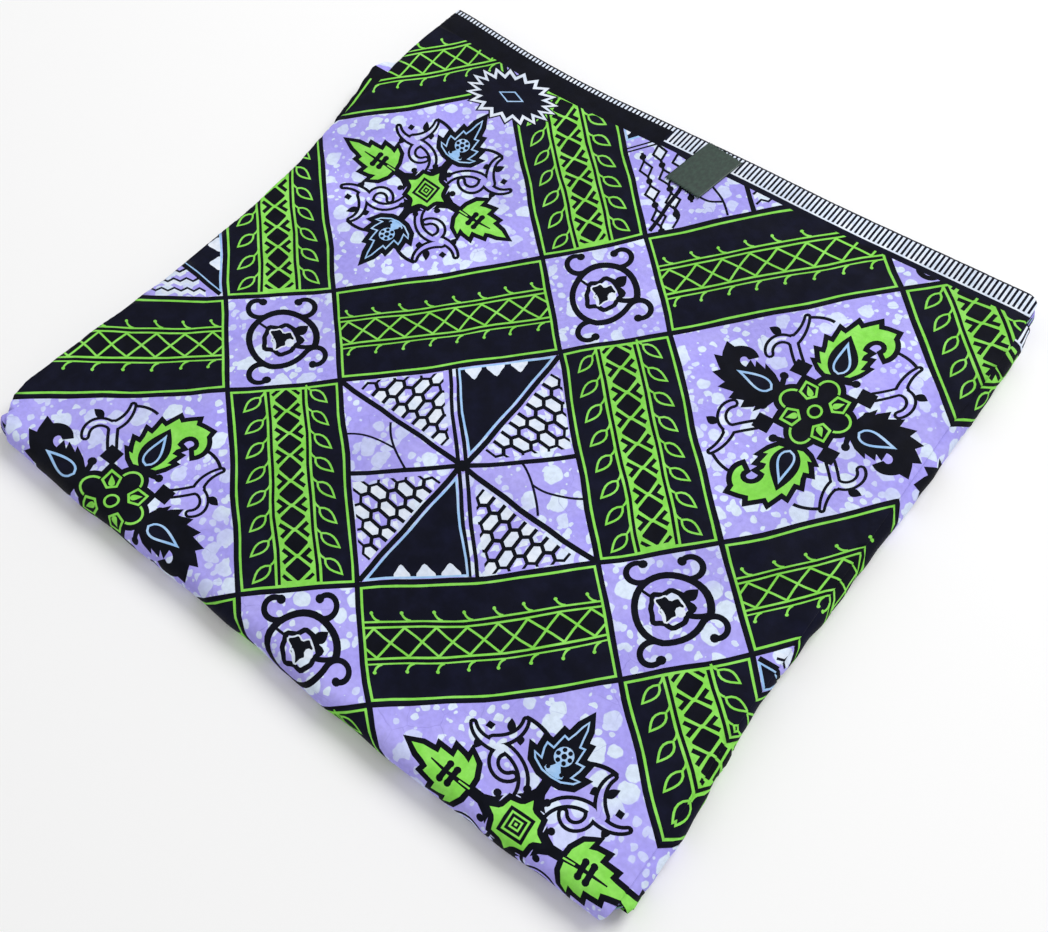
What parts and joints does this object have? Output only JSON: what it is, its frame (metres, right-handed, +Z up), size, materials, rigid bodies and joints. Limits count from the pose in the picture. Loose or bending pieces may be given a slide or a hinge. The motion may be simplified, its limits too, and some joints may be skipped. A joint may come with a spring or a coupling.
{
  "type": "ankara fabric",
  "caption": "Length of lavender, navy and lime printed cotton cloth, folded flat in many layers, with a rolled long fold, open selvedge edges and a small plain label.",
  "frame": {"origin": "centre of the bounding box, on the underside", "axes": "+Z up, +Y towards the open selvedge edges, -Y towards the long rolled fold, +X towards the side where the second layer shows"},
  "size_m": [0.6336, 0.5939, 0.0249],
  "materials": {
    "printed_cotton": "satin, tightly woven, printed",
    "label_cloth": "matte"
  },
  "bodies": {
    "root": {"top_panel": "printed_cotton", "second_panel": "printed_cotton", "folded_stack": "printed_cotton", "selvedge_label": "label_cloth"}
  },
  "joints": []
}
